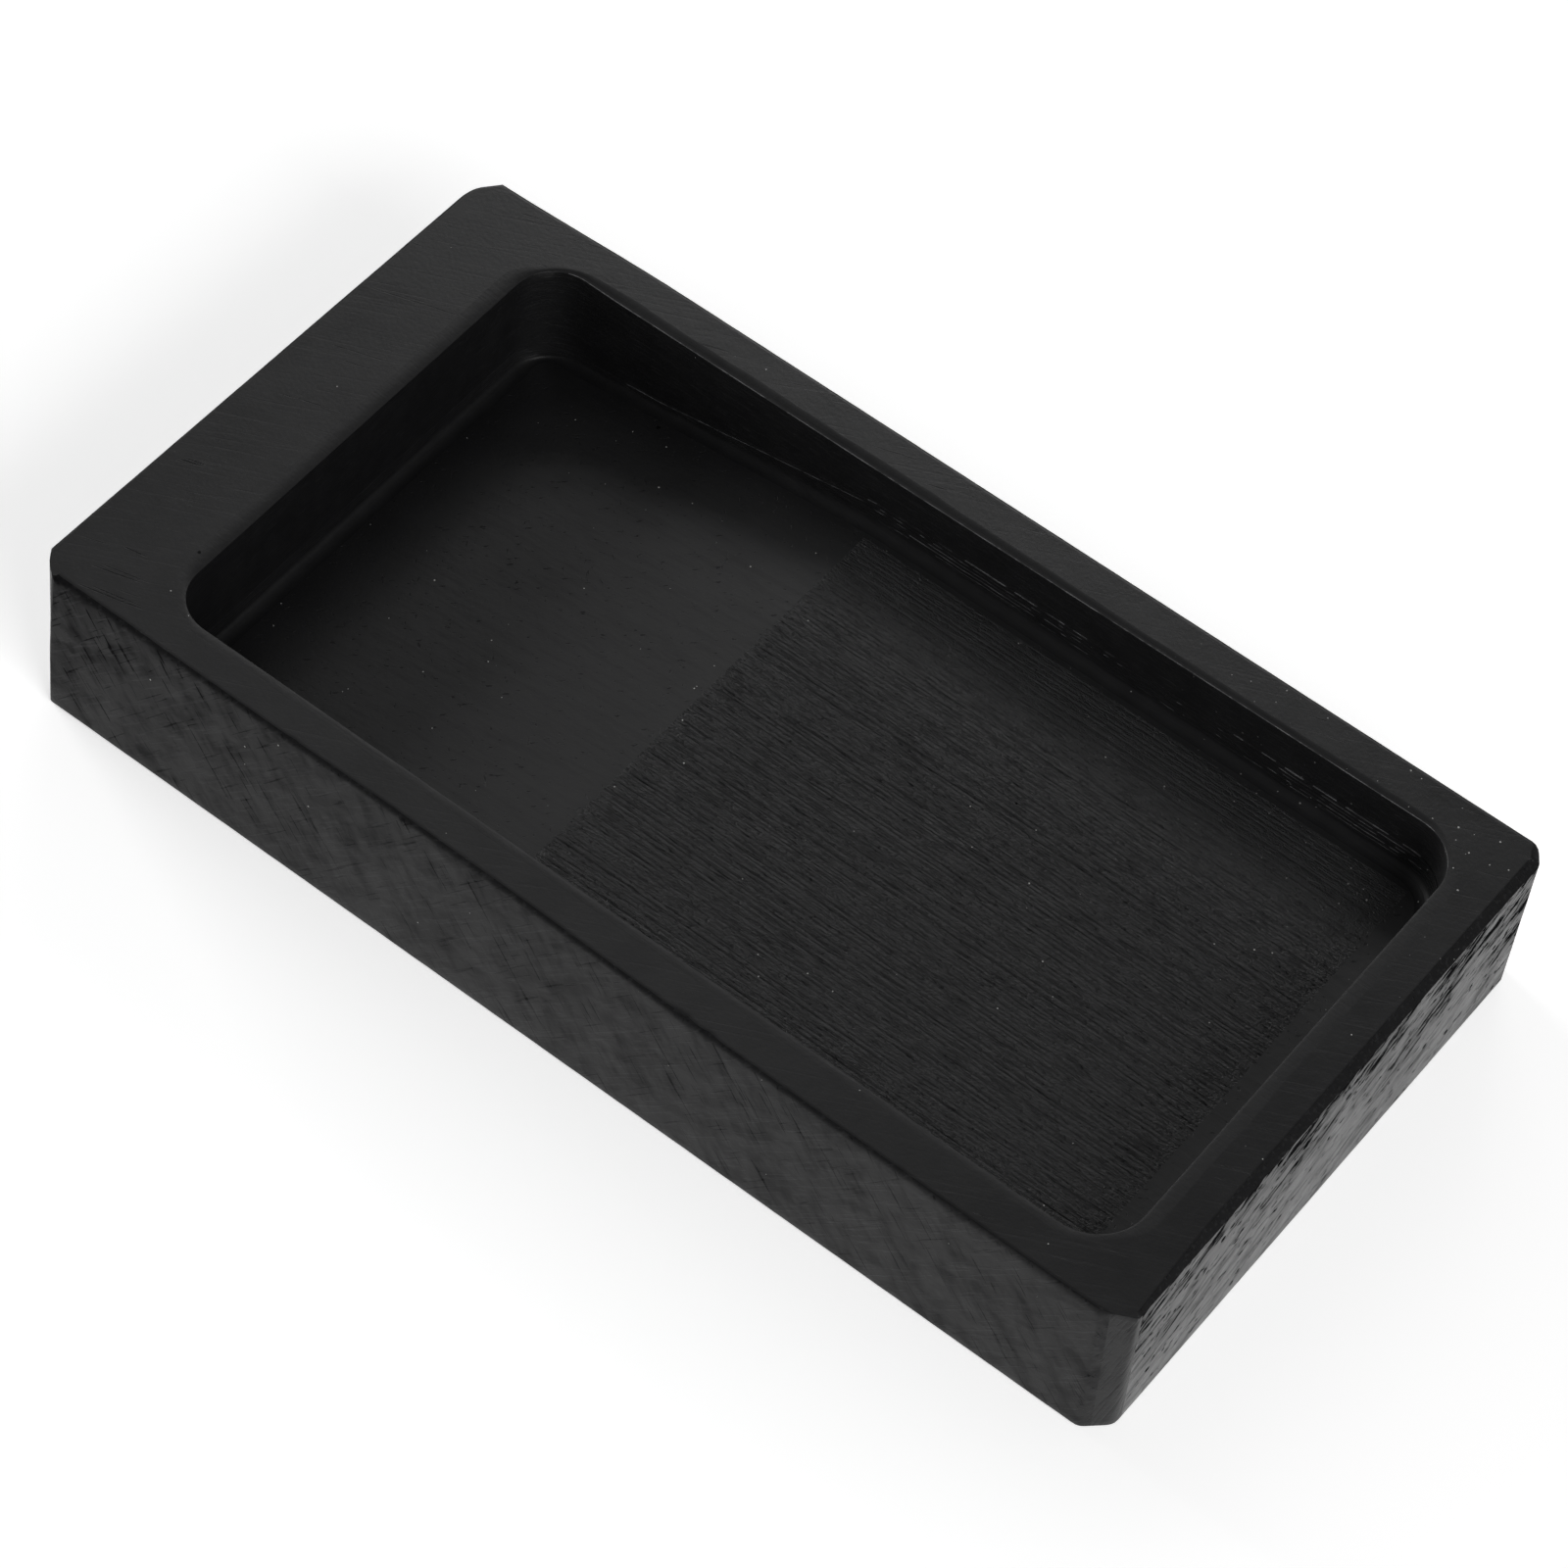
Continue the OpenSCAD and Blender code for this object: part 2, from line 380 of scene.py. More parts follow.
def outer_rings(skin, sizes, wear):
    """Makes the slab's sides, from the underside's edge to the top's, and gives both edges."""
    top = SLAB_HIGH.z
    head = np.array((sizes.head_cut_along, sizes.head_cut_across))
    foot = np.array((sizes.foot_cut_along, sizes.foot_cut_across))
    lean = np.array((sizes.cut_lean, -sizes.cut_lean))
    # The two cuts lean, so the sides go over from one outline below to another above
    outline = stone_outline(sizes, (head + sizes.cut_lean, foot + lean), sizes.cut_easing)
    low_outline = stone_outline(sizes, (head, foot - lean), 5 * sizes.cut_easing, outline)
    shift = low_outline.base - outline.base
    x = outline.base[:, 0]
    around = outline.base @ np.array((1.0, 0.35))
    near = smooth(0.6, 0.95, -outline.outward[:, 1])
    far = smooth(0.3, 0.9, outline.outward[:, 1])
    at_foot = outline.by_side(0, 1, 0, 0)
    on_cut = smooth(0.3, 0.45, np.abs(outline.outward[:, 0]) * -outline.outward[:, 1])

    # The bevel of the top edge is widest at the foot, and the cuts have almost none
    worn_head = near * smooth(-45 * MM, -63 * MM, x)
    worn_foot = near * smooth(30 * MM, 55 * MM, x)
    bevel_w = (outline.by_side(0.3, 1.1, 0.52, 0.4) + 0.2 * worn_head - 0.1 * worn_foot) * MM
    bevel_h = (outline.by_side(0.2, 0.55, 0.62, 0.25) + 0.2 * worn_head + 0.3 * worn_foot) * MM
    chips = near * chipped(x, wear.seed)
    bevel_w = bevel_w * (1 - 0.96 * on_cut) + chips
    bevel_h = bevel_h * (1 - 0.94 * on_cut) + 0.8 * chips

    # Rubbing has set in the near side's top most at a third of its length from the head
    hollow = np.interp(x / MM, (-65, -35, -22, -5, 15, 32), (0.8, 0.8, 1, 0.8, 0.2, 0))
    hollow = near * wear.side_hollow * hollow
    eased = far * wear.far_easing * smooth(-40 * MM, -64 * MM, x)
    made = []

    def ring(draw_in, z):
        """Adds a ring, drawn in further by the wear at its height."""
        rise = z / top
        wobble = wear.unevenness * (1 + waves(around, z, 9 * MM, 3)) / 2
        place = outline.ring(draw_in + hollow * rise ** 2 + eased * rise + wobble * (rise > 0))
        made.append(skin.add(place + shift * (1 - rise)[:, None], z))

    low = wear.base_bevel
    for part in (0, 0.3, 0.65, 1):
        turn = part * math.pi / 2
        ring(low * (1 - math.sin(turn)) + 0 * x, low * (1 - math.cos(turn)) + 0 * x)
    levels = 26
    for k in range(1, levels):
        ring(0 * x, low + (top - bevel_h - low) * (k / levels))
    # Shares of the bevel's width and height, up its rounded face and onto the top
    profile = ((0, 0), (0.05, 0.28), (0.14, 0.48), (0.28, 0.66), (0.46, 0.82), (0.7, 0.94), (1, 1),
               (1.3, 1))
    for across, up in profile:
        flatter = at_foot * (min(up, across + 0.5) - across)
        ring(bevel_w * (across + flatter), top - bevel_h * (1 - up))

    # The steep part of the bevel is rubbed as the long sides are, and the rest as the top
    kinds = np.where(np.abs(outline.outward[:, 0]) > 0.85, END, SIDE)
    kinds = np.where(on_cut > 0.5, CUT, kinds)
    bevel_start = len(made) - len(profile)
    bevel_top = bevel_start + 5
    for k, (lower, upper) in enumerate(zip(made[:-1], made[1:])):
        if k < bevel_start:
            skin.strip(lower, upper, kinds)
        else:
            skin.strip(lower, upper, SIDE if k < bevel_top else TOP)
    return made[0], made[-1]


def pocket_rings(skin, outline, floor, sizes, wear):
    """Makes the pocket's rim, walls and cove, and gives its edge on the top and on the floor."""
    top = SLAB_HIGH.z
    x, y = outline.base[:, 0], outline.base[:, 1]
    around = x + 1.7 * y
    far = outline.by_side(0, 0, 0, 1)
    on_far = far > 0.9
    corner = 4 * (outline.outward ** 2).prod(axis=1)
    # The worn slope of the rim is widest at the head, and narrow in the corners
    shrink = 1 - 0.4 * far * smooth(-15 * MM, 30 * MM, x)
    shrink = shrink * (1 - 0.65 * corner)
    shrink = shrink * (1 - 0.6 * far * smooth(-44 * MM, -52 * MM, x))
    rim_w = outline.by_side(1.4, 1.15, 0.7, 0.8) * MM * shrink
    rim_w = rim_w * (1 + 0.12 * waves(x, y, 13 * MM, 41))
    rim_h = outline.by_side(0.24, 0.04, 0.06, 0.32) * MM * shrink
    rim_turn = math.radians(22)
    burr = outline.by_side(0, 0.02, 0, 0.27) * MM
    wall_top = top - rim_h - 0.05 * MM
    made, kinds = [], []

    def ring(inset, z, kind=WALL):
        """Adds a ring. kind is the finish from it to the next one."""
        made.append(skin.add(outline.ring(inset), z))
        kinds.append(kind)

    ring(-rim_w - 0.3 * MM, top, RIM)
    for part in (0, 0.2, 0.4, 0.6, 0.8, 1):
        turn = part * rim_turn
        across = 1 - np.sin(turn) / np.sin(rim_turn)
        down = (1 - np.cos(turn)) / (1 - np.cos(rim_turn))
        ring(-rim_w * across - burr, top - rim_h * down, np.where(on_far & (part == 1), TOP, RIM))
    # The rim breaks off in a narrow ledge along the far wall, which the seam finish paints as a
    # pale line: pale chipped stone and painted highlight
    ring(-0.3 * burr, top - rim_h - 0.01 * MM, np.where(on_far, SEAM, WALL))
    ring(0 * x, wall_top)

    # The seam lies lower over the deep half of the ramp. Below it come five ledges, gap
    # apart, and then the cove, which begins start above the floor and is tight in the
    # corners at the head.
    foot_line = floor.height(x)
    deep = np.interp(x / MM, (-38, -11), (1, 0))
    seam = sizes.seam_height - (0.4 + 1.6 * far) * MM * deep
    tight = 1 - 0.6 * corner * smooth(0, -50 * MM, x)
    start = 1.0 * MM * tight * (1 - 0.5 * far * deep)
    gap = (seam - 0.95 * start) / 4.5
    parts = 9
    for k in range(1, parts):
        z = wall_top + (foot_line + seam - wall_top) * k / parts
        wobble = wear.unevenness * waves(around, z, 11 * MM, 5) * math.sin(math.pi * k / parts)
        ring(wobble, z)

    # Depths of the ledges, as shares of the seam's step
    ledges = []
    share = outline.by_side(0.25, 0.6, 0.5, 1)
    for k, depth in enumerate((0.9, 0.5, 0.4, 0.5, 0.3)):
        strength = smooth(-0.5, 0.9, waves(around, 0 * x, (9 + 4 * k) * MM, 11 + k))
        ledges.append(sizes.seam_step * share * depth * (0.7 + 0.3 * strength))
    # The stone has splintered most round two places along the far wall's seam, and there most
    # ledges take the seam finish, pale chipped stone with a painted highlight
    splinters_and_highlight = 0
    for middle, reach in ((4 * MM, 9 * MM), (47 * MM, 8 * MM)):
        splinters_and_highlight = splinters_and_highlight + np.exp(-((x - middle) / reach) ** 2)
    inset = 0 * x
    for k, ledge in enumerate(ledges):
        level = seam - gap * k
        ragged = waves(around, 0 * x, 5 * MM, 17 + k) + 1.1 * splinters_and_highlight > 0.55
        whole = (x > -42 * MM) & (k == 1)
        # Where the far wall's ledges take the seam finish with its painted highlight
        seam_chips_and_highlight = np.where(x > floor.break_x - 2 * MM, ragged, whole)
        ring(inset, foot_line + level, np.where(on_far & seam_chips_and_highlight, SEAM, WALL))
        inset = inset + ledge
        ring(inset, foot_line + level - gap * (0.1 - 0.12 * share))
        ring(inset, foot_line + level - 0.5 * gap)
    cove = sizes.cove_radius * tight
    last = sizes.seam_step - inset
    # The cove takes the cove finish, with painted shade where the walls meet the floor
    for part in (0.1, 0.25, 0.4, 0.55, 0.7, 0.85, 1):
        turn = part * math.pi / 2
        draw_in = inset + (last + cove) * (1 - math.cos(turn))
        z = floor.height(outline.ring(draw_in)[:, 0]) + start * (1 - math.sin(turn))
        ring(draw_in, z, COVE)
    for k, kind in enumerate(kinds[:-1]):
        skin.strip(made[k], made[k + 1], kind)
    return made[0], made[-1]


def groove_rows(wear, half):
    """Places of the grooves across the bed, each with its depth."""
    draw = random.Random(wear.seed)
    # Most grooves lie one pitch apart, and some closer or wider
    pitches = (1.0, 1.0, 1.0, 1.0, 1.0, 0.7, 0.8, 1.28, 1.55)
    rows, y = [], 0.5 * wear.groove_pitch - half
    while y < half - 0.4 * wear.groove_pitch:
        depth = wear.groove_depth * draw.uniform(0.35, 1.0) ** 1.5
        rows.append((y, depth))
        y += wear.groove_pitch * draw.choice(pitches)
    return rows


def scored_bed(skin, floor, wear):
    """Makes the bed's grooved field, and gives its edge as a ring of points."""
    # The field stops short of the cove. Its points stand closest along it at the break.
    half = floor.half - 2.3 * MM
    start, end = floor.break_x - 0.5 * MM, floor.foot - 3.9 * MM
    first = np.array((0, 0.3, 0.55, 0.8, 1.05, 1.35, 1.8, 2.5)) * MM + start
    columns = np.concatenate((first, np.arange(first[-1] + 1 * MM, end, 1.08 * MM), (end,)))
    # Each groove takes five lines, and is steeper on its far side
    lines = [(-half, 0)]
    for y, depth in groove_rows(wear, half):
        lines += [(y - 0.24 * MM, 0), (y - 0.1 * MM, 0.45 * depth), (y, depth),
                  (y + 0.06 * MM, 0.7 * depth), (y + 0.12 * MM, 0)]
    lines.append((half, 0))
    draw = random.Random(wear.seed + 1)
    begins, ends = start, end
    made = []
    for k, (y, depth) in enumerate(lines):
        # Each groove begins and ends at a place of its own
        if k % 5 == 1:
            begins = floor.break_x + draw.uniform(-0.4, 1.0) * MM
            ends = end - draw.uniform(0, 1.2) * MM - 3.6 * MM * smooth(12 * MM, 17 * MM, y)
        wavering = np.clip(0.6 + 0.9 * waves(columns, 0 * columns + y * 40, 6 * MM, 21), 0, 1)
        fade = smooth(begins, begins + 0.35 * MM, columns) * smooth(ends, ends - 0.8 * MM, columns)
        z = floor.height(columns) - depth * wavering * fade
        flat = np.column_stack((columns, np.full(len(columns), y)))
        made.append(skin.add(flat, z))
    skin.grid(made, BED)
    left = [row[0] for row in made[1:-1]]
    right = [row[-1] for row in made[1:-1]]
    return np.array([*made[0], *right, *made[-1][::-1], *left[::-1]])


def scatter(x0, x1, y0, y1, step):
    """Points in staggered rows over a rectangle."""
    rows = []
    for k, y in enumerate(np.arange(y0, y1 + step / 2, step * 0.87)):
        xs = np.arange(x0 + (k % 2) * step / 2, x1 + step / 2, step)
        rows.append(np.column_stack((xs, np.full(len(xs), y))))
    return np.concatenate(rows)


def inside(points, ring, margin):
    """Which points lie inside a convex ring, at least margin from it."""
    run = np.roll(ring, -1, axis=0) - ring
    size = np.linalg.norm(run, axis=1)
    keep = size > 1e-9
    run, start = run[keep] / size[keep][:, None], ring[keep]
    away = points[:, None, :] - start[None, :, :]
    depth = run[None, :, 0] * away[:, :, 1] - run[None, :, 1] * away[:, :, 0]
    return depth.min(axis=1) > margin


def slab_mesh(sizes, wear):
    """The whole slab as one closed mesh."""
    skin = Skin()
    floor = Floor(sizes)
    pocket = pocket_outline(sizes, wear)
    base_edge, top_edge = outer_rings(skin, sizes, wear)
    rim_edge, cove_edge = pocket_rings(skin, pocket, floor, sizes, wear)
    bed_edge = scored_bed(skin, floor, wear)
    placed = np.concatenate(skin.points)
    x, y = SLAB_HIGH.x, SLAB_HIGH.y

    # The top between the outer edge and the rim, slightly uneven
    spread = scatter(-x, x, -y, y, 1.2 * MM)
    top_ring, rim_ring = placed[top_edge, :2], placed[rim_edge, :2]
    border = spread[inside(spread, top_ring, 0.4 * MM)]
    in_pocket = inside(border, rim_ring, -0.4 * MM)
    border = border[~in_pocket]
    dip = wear.unevenness * (1 + waves(border[:, 0], border[:, 1], 16 * MM, 31)) / 2
    numbers = skin.add(border, SLAB_HIGH.z - dip)
    skin.fill([top_edge, rim_edge], numbers, TOP)

    # The ramp and the smooth strip round the grooved field
    cove_ring, bed_ring = placed[cove_edge, :2], placed[bed_edge, :2]
    spread = scatter(-x, x, -y, y, 0.9 * MM)
    ramp = spread[inside(spread, cove_ring, 0.3 * MM)]
    on_bed = inside(ramp, bed_ring, -0.25 * MM)
    ramp = ramp[~on_bed]
    numbers = skin.add(ramp, floor.height(ramp[:, 0]))
    skin.fill([cove_edge, bed_edge], numbers, POCKET)

    # The underside
    spread = scatter(-x, x, -y, y, 4 * MM)
    under = spread[inside(spread, placed[base_edge, :2], 1 * MM)]
    numbers = skin.add(under, 0)
    skin.fill([base_edge], numbers, BASE)
    return skin


def add(tree, kind, links=None, **settings):
    """Adds a node with its settings and what is linked to its inputs."""
    made = tree.nodes.new(kind)
    for name, value in settings.items():
        setattr(made, name, value)
    for name, value in (links or {}).items():
        socket = made.inputs[name]
        if isinstance(value, bpy.types.NodeSocket):
            tree.links.new(value, socket)
        else:
            socket.default_value = value
    return made


def patches(tree, place, size, low, high):
    """Soft patches: 0 below the noise level low, 1 above high. size is in millimetres."""
    noise = add(tree, "ShaderNodeTexNoise", {"Vector": place, "Scale": 1 / size, "Detail": 3.0})
    return add(tree, "ShaderNodeMapRange", {
        "Value": noise.outputs[0], "From Min": low, "From Max": high,
    }).outputs[0]


def streaks(tree, place, turn, size, low, high):
    """Marks that all lie one way. turn is how they are turned, in degrees round x, y and z.
    size is about their length, width and height before that, in millimetres."""
    laid = add(tree, "ShaderNodeMapping", {
        "Vector": place, "Rotation": [math.radians(a) for a in turn], "Scale": size,
    }, vector_type="TEXTURE")
    return patches(tree, laid.outputs[0], 1, low, high)


def spots(tree, place, spacing, radius, share):
    """Round spots, 1 inside and 0 outside. share is the part of the places that has one."""
    cells = add(tree, "ShaderNodeTexVoronoi", {"Vector": place, "Scale": 1 / spacing})
    drawn = add(tree, "ShaderNodeSeparateColor", {0: cells.outputs["Color"]})
    size = add(tree, "ShaderNodeMapRange", {
        "Value": drawn.outputs[0], "From Min": 1 - share, "From Max": 1,
        "To Min": 0, "To Max": radius / spacing,
    })
    return add(tree, "ShaderNodeMath", {
        0: cells.outputs["Distance"], 1: size.outputs[0],
    }, operation="LESS_THAN").outputs[0]


def scratch(tree, place, x, y, turn, long, wide):
    """One scratch on a level face, 1 inside and 0 outside. x and y are its middle, turn its
    direction in degrees and the rest its size, in millimetres."""
    laid = add(tree, "ShaderNodeMapping", {
        "Vector": place, "Location": (x, y, 0), "Rotation": (0, 0, math.radians(turn)),
        "Scale": (long / 2, wide / 2, 100),
    }, vector_type="TEXTURE")
    away = add(tree, "ShaderNodeVectorMath", {0: laid.outputs[0]}, operation="LENGTH")
    return add(tree, "ShaderNodeMapRange", {
        "Value": away.outputs["Value"], "From Min": 1, "From Max": 0.6,
    }).outputs[0]


def total(tree, parts, start=0.0):
    """The sum of masks, each times its amount, on top of a starting value."""
    found = start
    for mask, amount in parts:
        found = add(tree, "ShaderNodeMath", {0: mask, 1: amount, 2: found},
                    operation="MULTIPLY_ADD").outputs[0]
    return found


def blend(tree, share, one, other):
    """One colour that goes over to another by a mask."""
    return add(tree, "ShaderNodeMix", {0: share, 6: one, 7: other}, data_type="RGBA").outputs[2]


# What the eye sees of each finish. rough is the roughness, and uneven is how much clouds of
# the size cloud add to it. mirror is the share of light that the surface throws straight
# back. fade and head are how much of that is lost at the top and at the head of the slab, and
# far and foot are how much is gained by the far side and by the foot: painted light and shade
# that make one part of a face brighter or darker than the lamps make it. grain holds sizes and
# depths of fine bumps. streaks holds for each set of marks how they are turned, their three
# sizes, the two noise levels that cut them out, their depth, and how much rougher, paler and
# darker they make the surface; the darkening takes mirror away, painted shade in the marks,
# and a negative one gives them more mirror. scratches holds single marks, as scratch takes
# them. pits and dust hold spacing, radius and share. paler names the colour that scratched
# parts go over to. All lengths are in millimetres.
LOOKS = (
    # Satin with fine slanting scratches, as left by sliding the stone over a fine abrasive, with
    # a little more mirror towards the far side and less towards the foot as painted light and
    # shade
    dict(name="Black stone, ground flat on fine abrasive", rough=0.32, uneven=0.05, mirror=0.55,
         fade=0, head=0, far=0.1, foot=-0.17, cloud=6, grain=((0.4, 0.005), (1.6, 0.012)),
         streaks=(((0, 0, 26), (16, 0.35, 0.35), 0.56, 0.7, -0.004, 0.05, 0.35, 0.06),
                  ((0, 0, 31), (9, 0.5, 0.5), 0.6, 0.72, -0.004, 0.05, 0.25, 0.1),
                  ((0, 0, 19), (9, 0.3, 0.3), 0.7, 0.73, -0.016, 0.05, 0.5, 0.4)),
         scratches=((-56.7, -32.25, 14.6, 7.2, 0.22), (-56.3, -31.8, 14, 5.6, 0.18),
                    (-58.1, -29.8, 17, 5.4, 0.2), (-57.5, -29.2, 15, 5.2, 0.16),
                    (-62.1, -14.8, 19, 2.8, 0.2), (-61.8, -14.4, 17, 2.2, 0.16),
                    (-58.6, -26.6, 12, 2.6, 0.18)),
         pits=(5, 0.18, 0.2), dust=(1.6, 0.09, 0.5)),
    # Smooth satin with faint lines along the cut, nicks and grains of dust
    dict(name="Black stone, milled with a fine cutter", rough=0.41, uneven=0.05, mirror=0.49,
         fade=0, head=0, far=0, cloud=9, grain=((0.45, 0.007), (1.5, 0.008)),
         streaks=(((0, 0, 0), (12, 0.8, 0.8), 0.45, 0.7, 0.006, 0.02, 0.1, 0.1),
                  ((0, 0, 38), (1.1, 0.35, 0.35), 0.67, 0.7, -0.02, 0.05, 0.1, 0.5),
                  ((0, 0, -50), (0.9, 0.4, 0.4), 0.68, 0.71, -0.02, 0.05, 0.6, 0.4)),
         pits=(3.6, 0.3, 0.25), dust=(1.4, 0.09, 0.6)),
    # Broken ragged grooves and a rough chatter between them, left by a worn cutter's teeth, with
    # more mirror towards the far side as painted light where the far wall shades the bed
    dict(name="Black stone, scored by a worn cutter", rough=0.36, uneven=0.05, mirror=0.46,
         fade=0, head=0, far=0.6, cloud=7, grain=((0.22, 0.04), (0.8, 0.016)),
         streaks=(((0, 0, 0), (3.2, 0.26, 0.26), 0.56, 0.64, -0.026, 0.05, 0.1, 0.45),
                  ((0, 0, 2), (1.4, 0.24, 0.24), 0.55, 0.66, 0.024, 0.0, 0.3, -0.3),
                  ((0, 0, -6), (0.6, 0.24, 0.24), 0.57, 0.66, -0.035, 0.05, 0.1, 0.5)),
         pits=(3, 0.2, 0.3), dust=(1.6, 0.09, 0.5)),
    # Duller mottled satin with crossing sets of fine scratches from rubbing on a stone, most
    # darkened by painted shade in them, and less mirror towards the top and the head as painted
    # shade
    dict(name="Black stone, rubbed smooth by hand", rough=0.44, uneven=0.07, mirror=0.24,
         fade=0.2, head=0.4, far=0, cloud=3, grain=((0.4, 0.005), (2.2, 0.015)),
         streaks=(((0, 52, 0), (8, 0.32, 0.32), 0.62, 0.67, -0.008, 0.05, 0.1, 0.4),
                  ((0, 55, 0), (5, 1.3, 1.3), 0.48, 0.66, 0.0, 0.05, 0.3, 0.2),
                  ((0, -46, 0), (5, 0.4, 0.4), 0.56, 0.64, 0.01, 0.04, 0.8, -0.15),
                  ((0, -50, 0), (7, 0.3, 0.3), 0.63, 0.67, -0.006, 0.04, 0.1, 0.3),
                  ((0, -25, 0), (3, 1.6, 1.6), 0.45, 0.65, 0.01, 0.04, 0.2, 0.2)),
         pits=(6, 0.2, 0.15), dust=(2, 0.1, 0.3)),
    # Closer to a polish, with slanting streaks and open pits, most streaks darkened by painted
    # shade in them, and less mirror towards the top and the far side as painted shade
    dict(name="Black stone, honed on a wheel", rough=0.37, uneven=0.06, mirror=1.3,
         fade=0.7, head=0, far=-0.2, cloud=4, grain=((0.45, 0.016), (1.3, 0.03)),
         streaks=(((0, -17, 90), (4.0, 0.9, 0.9), 0.47, 0.64, -0.01, 0.08, 0.1, 0.4),
                  ((0, -14, 90), (10, 3, 3), 0.45, 0.62, 0.0, 0.05, 0.2, 0.3),
                  ((0, -12, 90), (1.4, 0.6, 0.6), 0.61, 0.66, -0.02, 0.1, 0.1, 0.6),
                  ((0, -28, 90), (2.2, 0.4, 0.4), 0.52, 0.6, 0.01, 0.0, 0.5, -0.35),
                  ((0, -62, 90), (14, 0.3, 0.3), 0.62, 0.72, -0.004, 0.03, 0.6, -0.2)),
         pits=(2.6, 0.4, 0.3), dust=(3, 0.1, 0.2)),
    # Dull, with the long shallow furrows of the saw
    dict(name="Black stone, sawn", rough=0.55, uneven=0.08, mirror=0.35,
         fade=0, head=0, far=0, cloud=12, grain=((0.5, 0.012), (2.0, 0.02)),
         streaks=(((0, 0, 84), (60, 0.9, 0.9), 0.42, 0.62, -0.03, 0.05, 0.25, 0.2),
                  ((0, 0, 88), (35, 0.4, 0.4), 0.5, 0.7, -0.01, 0.05, 0.2, 0.2)),
         pits=(4, 0.35, 0.3), dust=(2, 0.11, 0.4)),
    # Softer than the top, where brushes and ink sticks have been wiped off
    dict(name="Black stone, rim worn dull", rough=0.42, uneven=0.06, mirror=0.45,
         fade=0, head=0, far=0, cloud=3, grain=((0.5, 0.012), (1.6, 0.015)),
         streaks=(((0, 0, 0), (8, 0.5, 0.5), 0.5, 0.7, -0.006, 0.06, 0.2, 0.1),),
         pits=(3, 0.2, 0.25), dust=(1.6, 0.09, 0.5)),
    # Dull and dark, with faint level lines from the side of the cutter; less mirror than the
    # floor and towards the head is painted shade, and more towards the far side is painted light
    dict(name="Black stone, cut by the side of the cutter", rough=0.46, uneven=0.06, mirror=0.3,
         fade=0, head=0.5, far=0.7, cloud=4, grain=((0.4, 0.008), (1.5, 0.012)),
         streaks=(((0, 0, 0), (9, 9, 0.16), 0.5, 0.66, -0.01, 0.06, 0.2, 0.2),
                  ((0, 0, 0), (2.5, 2.5, 0.12), 0.6, 0.68, 0.012, 0.06, 1.0, 0.0)),
         pits=(3, 0.2, 0.25), dust=(2, 0.11, 0.3)),
    # Bright broken lines of chipped stone where the lower cut has splintered the wall; the pale
    # colour and the strong mirror also paint the highlight that the ledges catch
    dict(name="Black stone, chipped seam with painted highlight", rough=0.46, uneven=0.1, mirror=0.75,
         fade=0, head=0, far=0, cloud=2, grain=((0.3, 0.02), (0.8, 0.03)), paler="seam_chips_and_highlight",
         streaks=(((0, 0, 0), (5, 5, 0.2), 0.4, 0.6, 0.02, 0.06, 0.6, 0.0),
                  ((0, 0, 0), (0.8, 0.8, 0.3), 0.5, 0.62, 0.02, 0.06, 0.5, 0.0)),
         pits=(2, 0.2, 0.3), dust=(1.6, 0.09, 0.5)),
    # Paler satin with slanting scratches all one way, from a few strokes over the abrasive
    dict(name="Black stone, corner cut on fine abrasive", rough=0.42, uneven=0.05, mirror=0.26,
         fade=0, head=0, far=0, cloud=3, grain=((0.4, 0.008), (1.6, 0.015)),
         streaks=(((0, -74, 45), (9, 0.35, 0.35), 0.5, 0.66, -0.02, 0.05, 0.5, 0.3),
                  ((0, -70, 45), (5, 0.4, 0.4), 0.6, 0.7, -0.02, 0.05, 0.2, 0.5)),
         pits=(5, 0.2, 0.2), dust=(2, 0.1, 0.3)),
    # Dull and darker than the floor through less mirror, painted shade in the cove where the
    # walls meet the floor, which the round nose of the cutter has cut
    dict(name="Black stone, cut by the nose of the cutter", rough=0.48, uneven=0.06, mirror=0.24,
         fade=0, head=0, far=0, cloud=4, grain=((0.4, 0.01), (1.5, 0.015)),
         streaks=(((0, 0, 0), (6, 6, 0.2), 0.5, 0.66, -0.01, 0.06, 0.2, 0.3),),
         pits=(3, 0.2, 0.25), dust=(1.8, 0.1, 0.4)),
)


